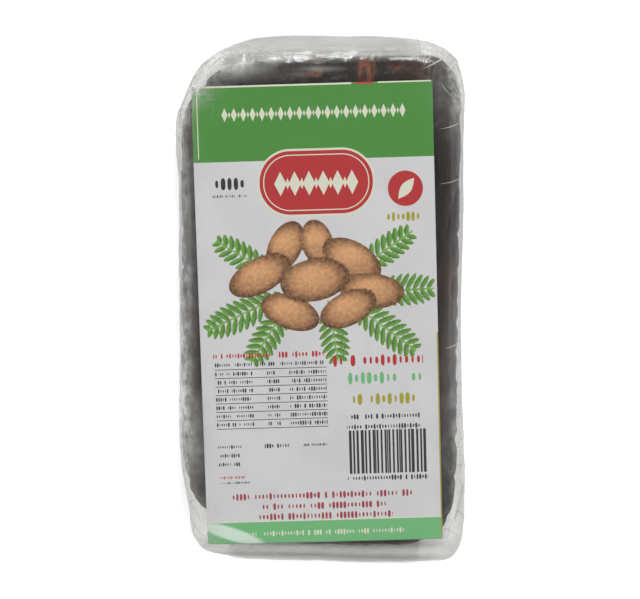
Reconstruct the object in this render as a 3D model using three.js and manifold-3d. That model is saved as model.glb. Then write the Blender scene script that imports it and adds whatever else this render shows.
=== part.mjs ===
// A flat shop pack of pressed tamarind pulp, lying on its back: a lumpy slab of pulp, a printed paper
// label on its front, and one clear film bag round both, whose two ends are folded over in flaps.
// Millimetres. X runs across the pack, Y towards its top end, Z up out of the label. The pack lies on the
// plane Z = 0.
import * as THREE from "three";
import { SimplexNoise } from "three/addons/math/SimplexNoise.js";
import { mergeVertices } from "three/addons/utils/BufferGeometryUtils.js";
import Module from "manifold-3d";

const wasm = await Module();
wasm.setup();

// Driving dimensions
const FILM_WALL = 0.35;
const LAYER_GAP = 0.3; // air left between film, label and pulp
const LABEL = { width: 65.8, length: 127.7, thick: 0.3, x: -1.2, y: -3.5, turn: 1.7, edgeSlack: 0.25 };
const PULP_THICK = 16;
const PULP_BASE = FILM_WALL + LAYER_GAP;
const PULP_TOP = PULP_BASE + PULP_THICK;
const FILM_TOP = PULP_TOP + LAYER_GAP + LABEL.thick + LAYER_GAP + FILM_WALL;

// The film's widest line seen from above, anticlockwise from the middle of its right side
const FILM_OUTLINE = [
  [38.9, 2], [39.1, 16], [39.2, 34], [39.3, 50], [39.3, 59], [37.6, 65.7], [34.4, 69.6], [29.0, 72.0],
  [12.0, 73.1], [-8.0, 73.3], [-18.5, 72.5], [-27.5, 70.2], [-33.9, 65.5], [-37.4, 59.2], [-40.8, 51.0],
  [-40.9, 42.0], [-40.1, 33], [-40.0, 12], [-40.2, -14], [-40.6, -38], [-39.9, -49], [-37.7, -60],
  [-37.4, -66.7], [-34.2, -71.6], [-26.2, -73.2], [-12.0, -74.0], [8.0, -74.6], [28.0, -74.9],
  [37.0, -74.2], [39.5, -69.6], [40.2, -62.0], [40.3, -50], [39.3, -24],
];
// The slab's widest line seen from above, anticlockwise from the middle of its right side
const PULP_OUTLINE = [
  [37.9, 0], [38.0, 28], [38.3, 46], [38.1, 57.0], [36.6, 63.4], [32.6, 67.2], [26.0, 68.2], [12.0, 67.4],
  [-6.0, 67.0], [-21.0, 66.2], [-28.0, 64.4], [-32.6, 60.8], [-36.4, 56.0], [-38.7, 50], [-39.2, 38],
  [-39.4, 14], [-39.5, -24], [-39.6, -38], [-38.9, -48], [-37.2, -54.5], [-34.0, -59.2], [-28.0, -63.8],
  [-20.0, -67.5], [-8.0, -69.8], [5.0, -70.3], [18.0, -70.4], [28.0, -69.4], [34.2, -65.4],
  [37.0, -58], [37.6, -50], [37.8, -24],
];

// How a cushion-like body rounds over between its flat faces and its widest line. The under edge's run
// grows by underGrowth at the two ends.
const FILM_FORM = {
  outline: FILM_OUTLINE, top: FILM_TOP, base: 0, middle: 8.4, spine: 34, pole: [2.5, 3.5],
  sideRun: 4.6, topEndRun: 10.5, bottomEndRun: 8.5, underRun: 3.6, underGrowth: 1.6,
  around: 96, topShares: [0, 0.5, 0.82], edgeRings: 6, underRings: 4, baseShares: [0],
};
const PULP_FORM = {
  outline: PULP_OUTLINE, top: PULP_TOP, base: PULP_BASE, middle: 8.2, spine: 34, pole: [2.5, 3.5],
  sideRun: 5.4, topEndRun: 7.5, bottomEndRun: 9.5, underRun: 4.2, underGrowth: 1.6,
  around: 90, topShares: [0, 0.25, 0.45, 0.62, 0.76, 0.88], edgeRings: 5,
  underRings: 4, baseShares: [0, 0.35, 0.62, 0.84],
};

// Pulp relief: broad lumps, small lumps and the furrows between them, all pressed inwards from the slab's
// envelope. Where the pulp swells the relief is only the share calm of this.
const RELIEF = {
  broadSize: 12, broadDepth: 0.45, fineSize: 5, fineDepth: 0.3, furrowSize: 15, furrowDepth: 1.0,
  furrowSharpness: 3.2, calm: 0.4,
};
// Swellings at the slab's top front edge, where a lighter bit of pulp bulges: middle and radius in plan,
// and height
const SWELLINGS = [
  { x: 11.8, y: 64.4, radius: 4.6, height: 0.75 },
  { x: -1.6, y: 64.8, radius: 3.6, height: 0.6 },
];

// Creases of the film: sharp ridges along its rounded edge. Where each starts and ends round the outline,
// as a share of its length, and down the edge, in degrees from the front face (0) to the widest line (90).
const CREASE_TUBE = { radius: 0.5, steps: 8, sides: 5 };
const CREASES = [
  { around: [0.118, 0.135], down: [4, 78] },
  { around: [0.124, 0.152], down: [2, 70] },
  { around: [0.131, 0.171], down: [6, 64] },
  { around: [0.139, 0.19], down: [4, 40] },
  { around: [0.205, 0.262], down: [22, 16] },
  { around: [0.278, 0.33], down: [20, 26] },
  { around: [0.352, 0.33], down: [6, 62] },
  { around: [0.359, 0.352], down: [4, 72] },
  { around: [0.364, 0.378], down: [8, 80] },
  { around: [0.372, 0.402], down: [6, 60] },
  { around: [0.64, 0.632], down: [6, 66] },
  { around: [0.645, 0.655], down: [4, 70] },
  { around: [0.65, 0.684], down: [8, 50] },
  { around: [0.806, 0.79], down: [8, 60] },
  { around: [0.812, 0.822], down: [4, 74] },
  { around: [0.818, 0.85], down: [6, 56] },
  { around: [0.9, 0.93], down: [30, 66] },
  { around: [0.48, 0.51], down: [34, 62] },
];

// The two flaps that close each end, one folded down from the front over one folded up from the back. Half
// widths and heights of each trapezium's two ends, and how far the flap stands proud once past its fold
const FRONT_FLAP = { foldZ: 16.6, tipZ: 5.2, halfAtFold: 30, halfAtTip: 19, proud: 0.65, fade: 4.5 };
const BACK_FLAP = { foldZ: 0.4, tipZ: 8.8, halfAtFold: 31, halfAtTip: 24, proud: 0.3, fade: 1.6 };
// A flap is sunk this far into the film at its fold, and is cut from what lies this far out along Y
const FLAP_SUNK = 0.1;
const FLAP_REACH = { from: 60, to: 90 };
// The flaps aren't sealed: this slit below the front flap's tip at the top end is the bag's way in
const SLIT = { width: 22, height: 1.2, deep: 6, y: 71.5, z: 3.9 };

const COLOURS = { film: 0xe4e6e2, label: 0xd2d2d4, pulp: 0x2c1d17 };

const random = new (class {
  seed = 7;
  random() {
    this.seed = (this.seed * 16807) % 2147483647;
    return this.seed / 2147483647;
  }
})();
const noise = new SimplexNoise(random);

// The closed smooth curve through an outline's points.
function outlineCurve(points) {
  const corners = points.map(([x, y]) => new THREE.Vector3(x, y, 0));
  const curve = new THREE.CatmullRomCurve3(corners, true, "centripetal");
  curve.arcLengthDivisions = 800;
  return curve;
}

function spacedOutline(points, count) {
  return outlineCurve(points).getSpacedPoints(count).slice(0, count);
}

// At one outline point: the unit vector towards the body's spine, and how far in its rounded edge runs.
function edgeAt(point, form) {
  const spineY = THREE.MathUtils.clamp(point.y, -form.spine, form.spine);
  const inward = new THREE.Vector3(-point.x, spineY - point.y, 0).normalize();
  const endShare = inward.y * inward.y;
  const endRun = point.y > 0 ? form.topEndRun : form.bottomEndRun;
  return {
    inward,
    run: THREE.MathUtils.lerp(form.sideRun, endRun, endShare),
    underRun: form.underRun * THREE.MathUtils.lerp(1, form.underGrowth, endShare),
  };
}

// A point on a body's rounded front edge, by its share round the outline and its angle down the edge in
// degrees.
function frontEdgePoint(curve, form, share, degrees) {
  const point = curve.getPointAt(THREE.MathUtils.euclideanModulo(share, 1));
  const { inward, run } = edgeAt(point, form);
  const angle = THREE.MathUtils.degToRad(degrees);
  point.addScaledVector(inward, run * (1 - Math.sin(angle)));
  return point.setZ(form.middle + (form.top - form.middle) * Math.cos(angle));
}

// One column of a cushion's grid, from the pole on its top face over its widest line to the pole
// underneath. Each entry has its place and the way its surface faces. Quarter ellipses join the flat faces
// to the widest line. A form that is thinner all round starts that much further in, and its rounded edges
// run in by half as much less.
function columnAt(point, form, thinner) {
  const { inward, run, underRun } = edgeAt(point, form);
  const rim = point.clone().addScaledVector(inward, thinner);
  const top = form.top - thinner;
  const base = form.base + thinner;
  const column = [];
  const flat = (z, reach, share, facing) => {
    const rimPoint = rim.clone().addScaledVector(inward, reach - thinner / 2).setZ(z);
    const pole = new THREE.Vector3(form.pole[0], form.pole[1], z);
    column.push({ place: pole.lerp(rimPoint, share), facing: new THREE.Vector3(0, 0, facing) });
  };
  const round = (angle, reach, faceZ, facing) => {
    const place = rim.clone().addScaledVector(inward, (reach - thinner / 2) * (1 - Math.sin(angle)));
    place.z = form.middle + (faceZ - form.middle) * Math.cos(angle);
    const out = inward.clone().multiplyScalar(-Math.sin(angle)).setZ(facing * Math.cos(angle));
    column.push({ place, facing: out });
  };
  const quarter = Math.PI / 2;
  for (const share of form.topShares) flat(top, run, share, 1);
  for (let i = 0; i <= form.edgeRings; i++) round((i / form.edgeRings) * quarter, run, top, 1);
  for (let i = form.underRings - 1; i >= 0; i--) round((i / form.underRings) * quarter, underRun, base, -1);
  for (const share of form.baseShares.toReversed()) flat(base, underRun, share, -1);
  return column;
}

// A closed solid from a grid of columns whose first and last entries meet in two poles.
function cushion(form, relief, thinner = 0) {
  const columns = spacedOutline(form.outline, form.around).map((point) => columnAt(point, form, thinner));
  const rings = columns[0].length - 2;
  const places = [];
  const put = ({ place, facing }) => {
    places.push(place.clone().addScaledVector(facing, relief(place, facing)));
  };
  put(columns[0][0]);
  for (let ring = 1; ring <= rings; ring++) for (const column of columns) put(column[ring]);
  put(columns[0][rings + 1]);
  return closedByPoles(places, rings, columns.length);
}

// A closed three.js geometry as a manifold-3d solid, and back.
function toSolid(geometry) {
  const bare = geometry.clone();
  bare.deleteAttribute("normal");
  bare.deleteAttribute("uv");
  const merged = mergeVertices(bare, 1e-4);
  const vertProperties = new Float32Array(merged.attributes.position.array);
  const triVerts = new Uint32Array(merged.index.array);
  return new wasm.Manifold(new wasm.Mesh({ numProp: 3, vertProperties, triVerts }));
}

function toGeometry(solid) {
  const mesh = solid.getMesh();
  const geometry = new THREE.BufferGeometry();
  geometry.setAttribute("position", new THREE.BufferAttribute(mesh.vertProperties, 3));
  geometry.setIndex(new THREE.BufferAttribute(mesh.triVerts, 1));
  return geometry;
}

function piece(name, geometry, colour, roughness, opacity = 1) {
  geometry.computeVertexNormals();
  const material = new THREE.MeshStandardMaterial({ color: colour, roughness, metalness: 0 });
  material.opacity = opacity;
  material.transparent = opacity < 1;
  const mesh = new THREE.Mesh(geometry, material);
  mesh.name = name;
  return mesh;
}

// How far the pulp's surface lies off its envelope: lumps from two sizes of noise, furrows where noise is
// near 0, and the swellings of the top edge.
function pulpRelief(place, facing) {
  const at = (size) => noise.noise3d(place.x / size, place.y / size, place.z / size);
  const hollow = (size) => (1 - at(size)) / 2;
  const furrow = Math.max(0, 1 - Math.abs(at(RELIEF.furrowSize)) * RELIEF.furrowSharpness) ** 2;
  const lumps = RELIEF.broadDepth * hollow(RELIEF.broadSize) + RELIEF.fineDepth * hollow(RELIEF.fineSize);
  let swelling = 0;
  for (const { x, y, radius, height } of SWELLINGS) {
    const near = Math.max(0, 1 - (Math.hypot(place.x - x, place.y - y) / radius) ** 2);
    if (facing.z > 0) swelling = Math.max(swelling, height * near);
  }
  return swelling - (lumps + RELIEF.furrowDepth * furrow) * (swelling > 0 ? RELIEF.calm : 1);
}

// A ridge along a curve: a tube that swells from a point at one end and shrinks to a point at the other.
function ridge(points, { radius, steps, sides }) {
  const curve = new THREE.CatmullRomCurve3(points);
  const frames = curve.computeFrenetFrames(steps, false);
  const places = [curve.getPointAt(0)];
  for (let step = 1; step < steps; step++) {
    const middle = curve.getPointAt(step / steps);
    const swell = radius * Math.sin((Math.PI * step) / steps);
    for (let side = 0; side < sides; side++) {
      const angle = (-side / sides) * 2 * Math.PI;
      const out = frames.normals[step].clone().multiplyScalar(Math.cos(angle));
      out.addScaledVector(frames.binormals[step], Math.sin(angle));
      places.push(middle.clone().addScaledVector(out, swell));
    }
  }
  places.push(curve.getPointAt(1));
  return closedByPoles(places, steps - 1, sides);
}

// A closed geometry over a first pole, rings of points and a last pole, each ring having the same number
// of points.
function closedByPoles(places, rings, around) {
  const last = rings * around + 1;
  const at = (ring, i) => 1 + (ring - 1) * around + (i % around);
  const triangles = [];
  for (let i = 0; i < around; i++) {
    triangles.push(0, at(1, i), at(1, i + 1));
    triangles.push(last, at(rings, i + 1), at(rings, i));
    for (let ring = 1; ring < rings; ring++) {
      triangles.push(at(ring, i), at(ring + 1, i), at(ring + 1, i + 1));
      triangles.push(at(ring, i), at(ring + 1, i + 1), at(ring, i + 1));
    }
  }
  const geometry = new THREE.BufferGeometry().setFromPoints(places);
  geometry.setIndex(triangles);
  return geometry;
}

// A flap layer at one end (side 1 top, -1 bottom): the film's form grown outwards past the fold, cut to a
// trapezium.
function flapLayer({ foldZ, tipZ, halfAtFold, halfAtTip, proud, fade }, side) {
  const grown = (place) => {
    const pastFold = THREE.MathUtils.smoothstep(Math.abs(place.z - foldZ), 0, fade);
    return THREE.MathUtils.lerp(-FLAP_SUNK, proud, pastFold);
  };
  const corners = [[-halfAtFold, foldZ], [halfAtFold, foldZ], [halfAtTip, tipZ], [-halfAtTip, tipZ]];
  const face = new THREE.Shape(corners.map(([x, z]) => new THREE.Vector2(x, z)));
  const depth = FLAP_REACH.to - FLAP_REACH.from;
  const cutter = new THREE.ExtrudeGeometry(face, { depth, bevelEnabled: false });
  cutter.rotateX(Math.PI / 2);
  cutter.translate(0, side > 0 ? FLAP_REACH.to : -FLAP_REACH.from, 0);
  return toSolid(cushion(FILM_FORM, grown)).intersect(toSolid(cutter));
}

function filmWrap() {
  const curve = outlineCurve(FILM_OUTLINE);
  let outside = toSolid(cushion(FILM_FORM, () => 0));
  for (const { around, down } of CREASES) {
    const points = [0, 0.33, 0.67, 1].map((share) => {
      const lerp = ([from, to]) => THREE.MathUtils.lerp(from, to, share);
      return frontEdgePoint(curve, FILM_FORM, lerp(around), lerp(down));
    });
    outside = outside.add(toSolid(ridge(points, CREASE_TUBE)));
  }
  for (const side of [1, -1]) {
    for (const flap of [BACK_FLAP, FRONT_FLAP]) outside = outside.add(flapLayer(flap, side));
  }
  const inside = toSolid(cushion(FILM_FORM, () => 0, FILM_WALL));
  const slit = new THREE.BoxGeometry(SLIT.width, SLIT.deep, SLIT.height);
  slit.translate(0, SLIT.y, SLIT.z);
  return toGeometry(outside.subtract(inside).subtract(toSolid(slit)));
}

function pulpBlock() {
  return cushion(PULP_FORM, pulpRelief);
}

// Height of a sheet that follows the film's front at a point seen from above, lying deep below the film's
// outside.
function heightUnderFilm(x, y, depth, outline) {
  const here = new THREE.Vector3(x, y, 0);
  const nearest = outline.reduce((a, b) => (a.distanceToSquared(here) < b.distanceToSquared(here) ? a : b));
  const { run } = edgeAt(nearest, FILM_FORM);
  const inside = Math.max(0, nearest.distanceTo(here) - depth);
  const lack = Math.max(0, 1 - inside / run);
  return FILM_FORM.middle + (FILM_FORM.top - depth - FILM_FORM.middle) * Math.sqrt(1 - lack * lack);
}

// The label: a thin sheet that lies on the slab and bends down with the film towards its edges.
function labelCard() {
  const across = [0, 0.04, 0.1, 0.18, 0.34, 0.5, 0.66, 0.82, 0.92, 1];
  const along = [0, 0.02, 0.045, 0.08, 0.13, 0.3, 0.5, 0.7, 0.88, 0.96, 1];
  const outline = spacedOutline(FILM_OUTLINE, 400);
  const turn = THREE.MathUtils.degToRad(LABEL.turn);
  const upright = new THREE.Vector3(0, 0, 1);
  const depth = FILM_WALL + LAYER_GAP + LABEL.edgeSlack;
  const sheet = (drop) =>
    along.map((v) =>
      across.map((u) => {
        const flat = new THREE.Vector3((u - 0.5) * LABEL.width, (v - 0.5) * LABEL.length, 0);
        flat.applyAxisAngle(upright, turn).add(new THREE.Vector3(LABEL.x, LABEL.y, 0));
        flat.z = heightUnderFilm(flat.x, flat.y, depth, outline) + LABEL.edgeSlack - drop;
        return flat;
      }),
    );
  const rows = along.length;
  const columns = across.length;
  const [endRow, endColumn] = [rows - 1, columns - 1];
  const points = [...sheet(0).flat(), ...sheet(LABEL.thick).flat()];
  const front = (row, column) => row * columns + column;
  const back = (row, column) => rows * columns + front(row, column);
  const triangles = [];
  const quad = (a, b, c, d) => triangles.push(a, b, c, a, c, d);
  for (let row = 0; row + 1 < rows; row++) {
    for (let column = 0; column + 1 < columns; column++) {
      quad(front(row, column), front(row, column + 1), front(row + 1, column + 1), front(row + 1, column));
      quad(back(row, column), back(row + 1, column), back(row + 1, column + 1), back(row, column + 1));
    }
    quad(back(row, 0), front(row, 0), front(row + 1, 0), back(row + 1, 0));
    quad(front(row, endColumn), back(row, endColumn), back(row + 1, endColumn), front(row + 1, endColumn));
  }
  for (let column = 0; column + 1 < columns; column++) {
    quad(back(0, column), back(0, column + 1), front(0, column + 1), front(0, column));
    quad(front(endRow, column), front(endRow, column + 1), back(endRow, column + 1), back(endRow, column));
  }
  const geometry = new THREE.BufferGeometry().setFromPoints(points);
  geometry.setIndex(triangles);
  return geometry;
}

const pack = new THREE.Group();
pack.name = "tamarind_pack";
pack.add(piece("pulp_block", pulpBlock(), COLOURS.pulp, 0.45));
pack.add(piece("label_card", labelCard(), COLOURS.label, 0.5));
pack.add(piece("film_wrap", filmWrap(), COLOURS.film, 0.12, 0.3));

// The frame's origin is the middle of the pack's outline, on the surface it lies on.
const middle = new THREE.Box3().setFromObject(pack).getCenter(new THREE.Vector3());
pack.position.set(-middle.x, -middle.y, 0);

export default pack;
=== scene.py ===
"""Looks of a film-wrapped slab of tamarind pulp, laid on its back and seen from above.

Shapes are worked out in millimetres on the pack's own drawing and put into the meshes in metres.
"""

import math

import bpy
import numpy as np
from bpy.props import FloatProperty, FloatVectorProperty, PointerProperty
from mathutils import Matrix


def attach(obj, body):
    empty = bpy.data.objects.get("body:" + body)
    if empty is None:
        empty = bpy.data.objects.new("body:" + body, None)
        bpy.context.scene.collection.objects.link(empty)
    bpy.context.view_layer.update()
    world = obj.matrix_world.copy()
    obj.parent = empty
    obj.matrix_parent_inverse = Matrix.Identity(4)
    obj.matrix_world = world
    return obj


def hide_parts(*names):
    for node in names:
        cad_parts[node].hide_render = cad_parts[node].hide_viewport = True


bl_info = {
    "name": "Wrapped pulp pack",
    "version": (1, 0, 0),
    "blender": (4, 5, 0),
    "location": "View3D > Sidebar > Pack",
    "description": "Builds a slab of pressed tamarind pulp with its printed label and its clear film bag",
    "category": "Object",
}

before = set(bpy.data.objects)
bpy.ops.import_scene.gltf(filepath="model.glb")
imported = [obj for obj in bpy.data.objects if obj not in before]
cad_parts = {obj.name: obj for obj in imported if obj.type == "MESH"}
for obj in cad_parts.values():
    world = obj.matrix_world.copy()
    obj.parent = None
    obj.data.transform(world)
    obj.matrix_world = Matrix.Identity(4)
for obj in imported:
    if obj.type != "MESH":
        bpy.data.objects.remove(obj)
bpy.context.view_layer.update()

MM = 0.001
# From the drawing's middle to the frame's origin, in millimetres
SHIFT = np.array([0.37, 0.73, 0.0])

# The film's widest line seen from above, anticlockwise from the middle of its right side, in millimetres
FILM_OUTLINE = np.array([
    (38.9, 2), (39.1, 16), (39.2, 34), (39.3, 50), (39.3, 59), (37.6, 65.7), (34.4, 69.6), (29.0, 72.0),
    (12.0, 73.1), (-8.0, 73.3), (-18.5, 72.5), (-27.5, 70.2), (-33.9, 65.5), (-37.4, 59.2), (-40.8, 51.0),
    (-40.9, 42.0), (-40.1, 33), (-40.0, 12), (-40.2, -14), (-40.6, -38), (-39.9, -49), (-37.7, -60),
    (-37.4, -66.7), (-34.2, -71.6), (-26.2, -73.2), (-12.0, -74.0), (8.0, -74.6), (28.0, -74.9),
    (37.0, -74.2), (39.5, -69.6), (40.2, -62.0), (40.3, -50), (39.3, -24),
])
# The slab's widest line, likewise
PULP_OUTLINE = np.array([
    (37.9, 0), (38.0, 28), (38.3, 46), (38.1, 57.0), (36.6, 63.4), (32.6, 67.2), (26.0, 68.2), (12.0, 67.4),
    (-6.0, 67.0), (-21.0, 66.2), (-28.0, 64.4), (-32.6, 60.8), (-36.4, 56.0), (-38.7, 50), (-39.2, 38),
    (-39.4, 14), (-39.5, -24), (-39.6, -38), (-38.9, -48), (-37.2, -54.5), (-34.0, -59.2), (-28.0, -63.8),
    (-20.0, -67.5), (-8.0, -69.8), (5.0, -70.3), (18.0, -70.4), (28.0, -69.4), (34.2, -65.4),
    (37.0, -58), (37.6, -50), (37.8, -24),
])
# The film proper is thin, so the slab fills this much of the room that the drawing leaves for it
SNUG = 0.6
# Creases keep this far inside the film's widest line
LEAST_DEPTH = 0.5
# Where the grids of the front and of the back close, in plan
POLE = np.array([2.5, 3.5])
# Half length of the middle line that the edges lean in to
SPINE = 34.0
# Middle of the label in plan
LABEL_MIDDLE = (-1.2, -3.5)
# Shares of the widest line among which the nearest to a place is looked for
RIM_SHARES = np.arange(0, 1, 1 / 720)
# Low swellings of the slab's top edge: middle in plan, radius, height
SWELLINGS = [(11.8, 64.4, 4.6, 0.75), (-1.6, 64.8, 3.6, 0.6)]
# Lighter patches there: middle, half sizes, how light
LIGHT_PATCHES = [(11.9, 64.6, 2.9, 5.0, 1.0), (-1.5, 66.4, 1.9, 1.6, 0.75), (-1.9, 62.8, 2.4, 1.2, 0.6),
                 (20.0, 65.5, 3.0, 2.0, 0.35)]
# The end flaps: side, falls at their fold and tip, half widths there, how far raised
FLAPS = [("front", (1.25, 2.35), (30, 19), 0.55), ("back", (2.9, 1.95), (31, 24), 0.28)]
FLAP_ROWS, FLAP_COLUMNS = 40, 150
# Beyond these distances from END_MIDDLE the film is pulled smooth (mm on the drawing) and evenly milky (metres)
END_MIDDLE, SMOOTH_ENDS = 0.8, (68.4, 70.2)
END_MIDDLE_M, MILKY_ENDS_M = 0.0015, (0.0675, 0.0705)

# Where the film looks milky, by soft ovals: middle, half width, half height (mm) and how milky
# A few of these, along the slab's top edge, are painted highlights rather than milkiness
MILK_AND_SHEEN_PLACES = [
    (-40.0, 48, 2.2, 9, 0.45), (-35.5, 61.5, 4.5, 5.0, 0.6), (-25.0, 66.6, 8, 3.2, 0.75), (-38.0, 14, 2.6, 40, 0.22),
    (-38.4, -12, 2.5, 26, 0.12), (-39.6, -34, 2.6, 13, 0.5), (-36.5, -38, 4, 11, 0.28), (-35.0, -68, 4, 5, 0.25),
    (24.0, 69.0, 12, 1.6, 0.3), (36.0, 61.0, 5, 8, 0.24), (38.6, 61, 2.4, 9, 0.3), (36.5, 50, 3, 6, 0.08),
    (38.9, -32, 2.2, 28, 0.26), (35.5, -30, 3.0, 24, 0.12), (39.8, -40, 1.2, 24, 0.3), (36.5, -70, 5, 4, 0.3),
    # (-16, 67.6): milky crinkles with a painted highlight; (8, 68.3): a painted highlight along the slab's top edge
    (-16.0, 67.6, 14, 1.2, 0.7), (8.0, 68.3, 24, 0.8, 0.45), (-34.0, -60.0, 4, 5, 0.2),
    # (-26, 64.2) and (-1, 64.3): painted reflections of the film's gloss over the slab's top edge
    (-26.0, 64.2, 8, 1.5, 0.25), (-1.0, 64.3, 5, 0.6, 0.3), (-6.0, 62.8, 3, 0.5, 0.15), (2.0, 72.3, 32, 1.9, 0.72),
]
# How milky it looks at its clearest
CLEAREST = 0.01
# Where the film is crumpled, likewise, and how much
CRUMPLED_PLACES = [
    (-33, 60, 6, 8, 0.6), (-22, 67.4, 12, 1.8, 0.45), (5, 68.0, 22, 1.0, 0.15), (33, 66, 5, 3.5, 0.6),
    (36, 57, 4, 9, 0.4), (-40, 49, 3, 8, 0.3), (38.5, -55, 4, 12, 0.25), (35, -70, 6, 4, 0.1),
    (-36, -62, 5, 7, 0.2), (39, -10, 2, 30, 0.05), (-39.0, 2, 2.6, 48, 0.42), (37.5, -34, 2.5, 18, 0.2),
]
# Where the film lies in its own shade, likewise: the folds under the bottom end's rim
SHADED_PLACES = [
    (-24, -71.0, 9, 0.6, 0.6), (-6, -71.6, 14, 0.75, 0.85), (16, -72.2, 15, 0.9, 0.9), (36, 67, 5, 4, 0.3),
    (0, -73, 60, 3, 0.15), (39.5, -20, 1.6, 70, 0.2), (-39.5, 49, 3, 9, 0.12),
    (39.6, 26, 1.2, 28, 0.6), (-40.1, 5, 1.0, 34, 0.4),
]

# The creases' white is partly the creased film's own and partly a painted glint
# Sharp creases of the film: ends in plan, sideways bow of their middle, half width (all mm) and how white
CREASE_LINES = [
    (27.0, 64.2, 35.8, 69.6, -0.5, 0.2, 0.9), (29.6, 68.6, 36.8, 61.6, 0.6, 0.2, 1.0),
    (33.4, 67.5, 37.8, 55.5, 1.0, 0.2, 0.8), (26.0, 67.6, 30.8, 65.2, 0.4, 0.16, 0.9),
    (27.4, 65.0, 29.8, 68.0, 0.2, 0.16, 0.9), (33.6, 63.0, 37.4, 66.6, 0.4, 0.16, 0.8),
    (34.2, 61.4, 38.4, 52.2, 0.8, 0.16, 0.6), (32.0, 60.8, 36.0, 56.4, -0.5, 0.14, 0.45),
    (31.4, 48.0, 38.8, 50.8, -0.7, 0.1, 0.8), (31.7, 33.0, 38.8, 35.2, -0.5, 0.09, 0.6),
    (22.0, 69.4, 32.6, 68.2, 0.7, 0.16, 0.6), (12.0, 69.6, 23.0, 67.6, 0.5, 0.16, 0.6),
    (-36.6, 62.4, -29.4, 67.4, 0.7, 0.2, 0.6), (-32.0, 63.0, -25.2, 68.6, 0.8, 0.18, 0.7),
    (-36.6, 59.6, -33.0, 63.4, 0.6, 0.18, 0.6), (-29.0, 68.6, -14.0, 68.4, -0.8, 0.2, 0.7),
    (-20.0, 70.2, -8.0, 67.9, -0.5, 0.18, 0.6), (-10.0, 68.3, 8.0, 68.9, -0.5, 0.16, 0.6),
    (-30.0, 64.6, -19.0, 66.2, 0.6, 0.16, 0.5), (-24.0, 67.6, -15.0, 65.6, 0.4, 0.14, 0.5),
    (-36.2, 59.0, -39.4, 47.0, -1.0, 0.15, 0.4), (-39.6, 54.0, -37.9, 38.0, 0.7, 0.14, 0.4),
    (36.0, -64.0, 39.4, -48.0, -0.8, 0.16, 0.7), (37.0, -61.5, 40.0, -52.0, 0.6, 0.15, 0.6),
    (34.6, -67.4, 38.8, -57.0, 0.7, 0.15, 0.5), (33.6, -62.8, 38.4, -66.8, 0.3, 0.13, 0.45),
    (-37.0, -57.0, -33.8, -62.6, 0.5, 0.14, 0.45), (-37.4, -61.0, -33.0, -65.8, -0.4, 0.14, 0.4),
    (33.4, -12.4, 38.8, -10.6, -0.4, 0.1, 0.5), (-39.6, -29.0, -38.0, -45.0, 0.5, 0.13, 0.35),
]
# Creases of the ends and the walls: shares of the widest line and falls at their two ends, bow as a share, half
# width (mm) and how white
FOLD_LINES = [
    (0.175, 1.3, 0.186, 2.9, 0.002, 0.16, 0.5), (0.192, 1.2, 0.19, 2.6, -0.002, 0.18, 0.6),
    (0.206, 1.4, 0.198, 2.9, 0.002, 0.15, 0.5), (0.375, 1.2, 0.39, 2.8, 0.002, 0.18, 0.5),
    (0.352, 1.3, 0.362, 2.7, -0.002, 0.16, 0.5), (0.402, 1.6, 0.396, 2.9, 0.002, 0.15, 0.4),
    (0.67, 1.4, 0.676, 2.8, 0.002, 0.16, 0.45), (0.69, 1.3, 0.684, 2.9, -0.002, 0.17, 0.5),
    (0.704, 1.2, 0.712, 2.6, 0.002, 0.15, 0.45), (0.852, 1.3, 0.846, 2.8, 0.002, 0.17, 0.5),
    (0.868, 1.2, 0.872, 2.9, -0.002, 0.16, 0.5), (0.886, 1.5, 0.879, 2.7, 0.002, 0.15, 0.45),
    (0.228, 1.5, 0.262, 2.1, 0.003, 0.12, 0.35), (0.33, 1.45, 0.30, 2.2, 0.003, 0.12, 0.35),
    (0.735, 1.6, 0.765, 2.3, 0.003, 0.12, 0.35), (0.825, 1.5, 0.80, 2.2, -0.003, 0.12, 0.35),
    (0.05, 1.7, 0.058, 2.6, 0.002, 0.11, 0.4), (0.13, 1.6, 0.122, 2.7, 0.002, 0.11, 0.4),
    (0.45, 1.7, 0.455, 2.5, 0.002, 0.11, 0.4), (0.55, 1.65, 0.543, 2.7, 0.002, 0.11, 0.4),
    (0.615, 1.6, 0.622, 2.6, 0.002, 0.12, 0.4), (0.94, 1.7, 0.935, 2.6, 0.002, 0.11, 0.4),
]
# How high the two kinds of crease stand, and how far their feet are off the film
CREASE_HEIGHT, FOLD_HEIGHT, CREASE_LIFT = 0.22, 0.08, 0.05

# The stage: half size of the table, and its lamps by name, place, size (metres) and power (watts)
TABLE_HALF = 3.0
LAMPS = [("key", (0.1, 0.75, 0.75), 0.25, 4.6), ("left", (-0.85, 0.1, 0.6), 0.8, 2.6),
         ("right", (0.85, -0.15, 0.65), 0.8, 2.4), ("low", (0.0, -0.9, 0.7), 0.8, 2.0)]
# The camera: tilt off straight down, distance from the point aimed at (metres), lens and sensor (mm)
CAMERA_TILT, CAMERA_DISTANCE, CAMERA_AIM = math.radians(7.0), 0.55, np.array([-0.0004, 0.0008, 0.009])
CAMERA_LENS, CAMERA_SENSOR = 110.5, 36.0


def length(name, description, default):
    return FloatProperty(name=name, description=description, default=default, unit="LENGTH")


def colour(name, description, *rgb):
    return FloatVectorProperty(name=name, description=description, subtype="COLOR", size=4, default=(*rgb, 1))


class PackSizes(bpy.types.PropertyGroup):
    film_top: length("Film top", "Height of the film's front above the table", 0.0179)
    pulp_base: length("Pulp base", "Height of the slab's back above the table", 0.00065)
    pulp_top: length("Pulp top", "Height of the slab's front above the table", 0.01665)
    label_width: length("Label width", "Width of the paper label", 0.0658)
    label_length: length("Label length", "Length of the paper label", 0.1277)
    label_depth: length("Label depth", "How far the label lies below the film's outside", 0.0006)
    paper: length("Paper", "Thickness of the label's paper", 0.00015)
    label_turn: FloatProperty(name="Label turn", description="How far the label lies turned on the pack",
                              default=math.radians(1.7), subtype="ANGLE")
    crinkle: length("Crinkle", "Depth of the film's fine crinkles", 0.00032)


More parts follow.
